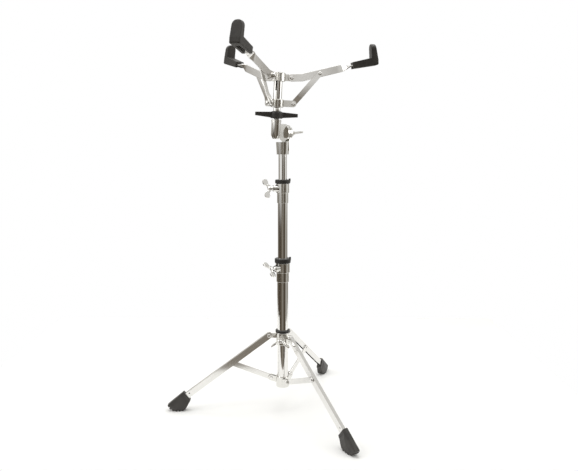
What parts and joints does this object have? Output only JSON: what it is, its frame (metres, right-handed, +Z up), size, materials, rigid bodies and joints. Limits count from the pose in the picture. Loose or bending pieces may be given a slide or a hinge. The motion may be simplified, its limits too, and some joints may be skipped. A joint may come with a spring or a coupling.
{
  "type": "snare drum stand",
  "caption": "Folding tripod stand with a telescoping column, a tilting joint and a three-arm basket with rubber grips that cradles a snare drum.",
  "frame": {"origin": "middle of the footprint on the floor, below the middle of the whole box", "axes": "+Z up, +X to the right, +Y to the back, away from the side that the clamp wing bolts face"},
  "size_m": [0.4804, 0.474, 0.8609],
  "materials": {
    "chrome_tube": "mirror-bright chromed steel tube",
    "chrome_strip": "chromed pressed steel strip",
    "chrome_cast": "chromed die casting, slightly soft edges",
    "chrome_fastener": "bright plated pins, rivets and bolts",
    "rubber": "moulded black-grey rubber, soft sheen",
    "nylon": "black moulded nylon, matte",
    "nut_black": "black moulded wing nut, fine texture"
  },
  "bodies": {
    "base": {"lower_tube": "chrome_tube", "bottom_bracket": "chrome_cast", "bracket_pins": "chrome_fastener", "lower_clamp": "chrome_cast", "lower_bushing": "nylon"},
    "lower_bolt": {"lower_wing_bolt": "chrome_fastener"},
    "collar": {"collar": "chrome_cast", "collar_bushing": "nylon", "leg_pins": "chrome_fastener"},
    "collar_bolt": {"collar_wing_bolt": "chrome_fastener"},
    "leg_left": {"leg_left": "chrome_strip", "boot_left": "rubber"},
    "brace_left": {"brace_left": "chrome_strip", "brace_rivet_left": "chrome_fastener"},
    "leg_front": {"leg_front": "chrome_strip", "boot_front": "rubber"},
    "brace_front": {"brace_front": "chrome_strip", "brace_rivet_front": "chrome_fastener"},
    "leg_back": {"leg_back": "chrome_strip", "boot_back": "rubber"},
    "brace_back": {"brace_back": "chrome_strip", "brace_rivet_back": "chrome_fastener"},
    "mid": {"middle_tube": "chrome_tube", "upper_clamp": "chrome_cast", "upper_bushing": "nylon"},
    "upper_bolt": {"upper_wing_bolt": "chrome_fastener"},
    "top": {"upper_tube": "chrome_tube", "tilter_lower": "chrome_cast"},
    "tilter_nut": {"tilter_wing_nut": "chrome_cast"},
    "post": {"tilter_upper": "chrome_cast", "tilter_bolt": "chrome_fastener", "basket_rod": "chrome_tube", "rod_end_nut": "chrome_fastener", "hub": "chrome_cast", "hub_cross_pin": "chrome_fastener", "hub_pins": "chrome_fastener"},
    "yoke": {"yoke": "chrome_cast", "yoke_sleeve": "chrome_tube", "yoke_pins": "chrome_fastener"},
    "basket_nut": {"basket_nut": "nut_black"},
    "arm_right": {"arm_right": "chrome_strip", "grip_right": "rubber"},
    "strut_right": {"strut_right": "chrome_strip", "strut_rivet_right": "chrome_fastener"},
    "arm_near": {"arm_near": "chrome_strip", "grip_near": "rubber"},
    "strut_near": {"strut_near": "chrome_strip", "strut_rivet_near": "chrome_fastener"},
    "arm_far": {"arm_far": "chrome_strip", "grip_far": "rubber"},
    "strut_far": {"strut_far": "chrome_strip", "strut_rivet_far": "chrome_fastener"}
  },
  "joints": [
    {"name": "collar_slide", "type": "slide", "parent": "base", "child": "collar", "axis": [0, 0, 1], "range_m": [0, 0.105]},
    {"name": "leg_left_fold", "type": "hinge", "parent": "collar", "child": "leg_left", "pos_m": [-0.00595, -0.00579, 0.179], "axis": [0.0558, -0.9984, 0], "range_deg": [0, 43.77]},
    {"name": "brace_left_fold", "type": "hinge", "parent": "base", "child": "brace_left", "pos_m": [-0.00146, -0.00553, 0.0747], "axis": [-0.0558, 0.9984, 0], "range_deg": [0, 54.85]},
    {"name": "leg_front_fold", "type": "hinge", "parent": "collar", "child": "leg_front", "pos_m": [0.04352, -0.03078, 0.179], "axis": [0.8368, 0.5476, 0], "range_deg": [0, 43.77]},
    {"name": "brace_front_fold", "type": "hinge", "parent": "base", "child": "brace_front", "pos_m": [0.04106, -0.02701, 0.0747], "axis": [-0.8368, -0.5476, 0], "range_deg": [0, 54.85]},
    {"name": "leg_back_fold", "type": "hinge", "parent": "collar", "child": "leg_back", "pos_m": [0.04043, 0.02456, 0.179], "axis": [-0.8926, 0.4509, 0], "range_deg": [0, 43.77]},
    {"name": "brace_back_fold", "type": "hinge", "parent": "base", "child": "brace_back", "pos_m": [0.0384, 0.02055, 0.0747], "axis": [0.8926, -0.4509, 0], "range_deg": [0, 54.85]},
    {"name": "collar_bolt_spin", "type": "hinge", "parent": "collar", "child": "collar_bolt", "pos_m": [0.026, -0.004, 0.174], "axis": [-0.1392, -0.9903, 0], "continuous": true},
    {"name": "lower_bolt_spin", "type": "hinge", "parent": "base", "child": "lower_bolt", "pos_m": [0.026, -0.004, 0.34], "axis": [-0.7431, -0.6691, 0], "continuous": true},
    {"name": "middle_slide", "type": "slide", "parent": "base", "child": "mid", "axis": [0, 0, 1], "range_m": [-0.118, 0.09]},
    {"name": "upper_bolt_spin", "type": "hinge", "parent": "mid", "child": "upper_bolt", "pos_m": [0.026, -0.004, 0.5225], "axis": [-0.9063, -0.4226, 0], "continuous": true},
    {"name": "upper_slide", "type": "slide", "parent": "mid", "child": "top", "axis": [0, 0, 1], "range_m": [-0.045, 0.11]},
    {"name": "basket_tilt", "type": "hinge", "parent": "top", "child": "post", "pos_m": [0.026, -0.004, 0.645], "axis": [0.766, 0.6428, 0], "range_deg": [-64, 56]},
    {"name": "tilter_nut_spin", "type": "hinge", "parent": "top", "child": "tilter_nut", "pos_m": [0.026, -0.004, 0.645], "axis": [0.766, 0.6428, 0], "continuous": true},
    {"name": "basket_slide", "type": "slide", "parent": "post", "child": "yoke", "axis": [0.0516, -0.0614, 0.9968], "range_m": [0, 0.026]},
    {"name": "basket_nut_spin", "type": "hinge", "parent": "yoke", "child": "basket_nut", "pos_m": [0.01274, -0.01931, 0.68487], "axis": [0.0516, -0.0614, 0.9968], "continuous": true},
    {"name": "arm_right_close", "type": "hinge", "parent": "post", "child": "arm_right", "pos_m": [0.04559, -0.02084, 0.76233], "axis": [0.1115, -0.9915, -0.0669], "range_deg": [0, 50.95]},
    {"name": "strut_right_swing", "type": "hinge", "parent": "yoke", "child": "strut_right", "pos_m": [0.04871, -0.01678, 0.70725], "axis": [0.1115, -0.9915, -0.0669], "range_deg": [0, 24.17]},
    {"name": "arm_near_close", "type": "hinge", "parent": "post", "child": "arm_near", "pos_m": [0.00616, -0.05112, 0.76251], "axis": [-0.9286, 0.3643, 0.0705], "range_deg": [0, 50.95]},
    {"name": "strut_near_swing", "type": "hinge", "parent": "yoke", "child": "strut_near", "pos_m": [0.00112, -0.05331, 0.70745], "axis": [-0.9286, 0.3643, 0.0705], "range_deg": [0, 24.17]},
    {"name": "arm_far_close", "type": "hinge", "parent": "post", "child": "arm_far", "pos_m": [-0.00038, -0.00093, 0.76594], "axis": [0.8037, 0.595, -0.0049], "range_deg": [0, 50.95]},
    {"name": "strut_far_swing", "type": "hinge", "parent": "yoke", "child": "strut_far", "pos_m": [-0.00677, 0.00726, 0.7116], "axis": [0.8037, 0.595, -0.0049], "range_deg": [0, 24.17]}
  ],
  "couplings": [
    {"joint": "leg_left_fold", "follows": "collar_slide", "rad_per_m": 7.273},
    {"joint": "brace_left_fold", "follows": "collar_slide", "rad_per_m": 9.1153},
    {"joint": "leg_front_fold", "follows": "collar_slide", "rad_per_m": 7.273},
    {"joint": "brace_front_fold", "follows": "collar_slide", "rad_per_m": 9.1153},
    {"joint": "leg_back_fold", "follows": "collar_slide", "rad_per_m": 7.273},
    {"joint": "brace_back_fold", "follows": "collar_slide", "rad_per_m": 9.1153},
    {"joint": "arm_right_close", "follows": "basket_slide", "rad_per_m": 34.192},
    {"joint": "strut_right_swing", "follows": "basket_slide", "rad_per_m": 16.219},
    {"joint": "arm_near_close", "follows": "basket_slide", "rad_per_m": 34.192},
    {"joint": "strut_near_swing", "follows": "basket_slide", "rad_per_m": 16.219},
    {"joint": "arm_far_close", "follows": "basket_slide", "rad_per_m": 34.192},
    {"joint": "strut_far_swing", "follows": "basket_slide", "rad_per_m": 16.219}
  ]
}
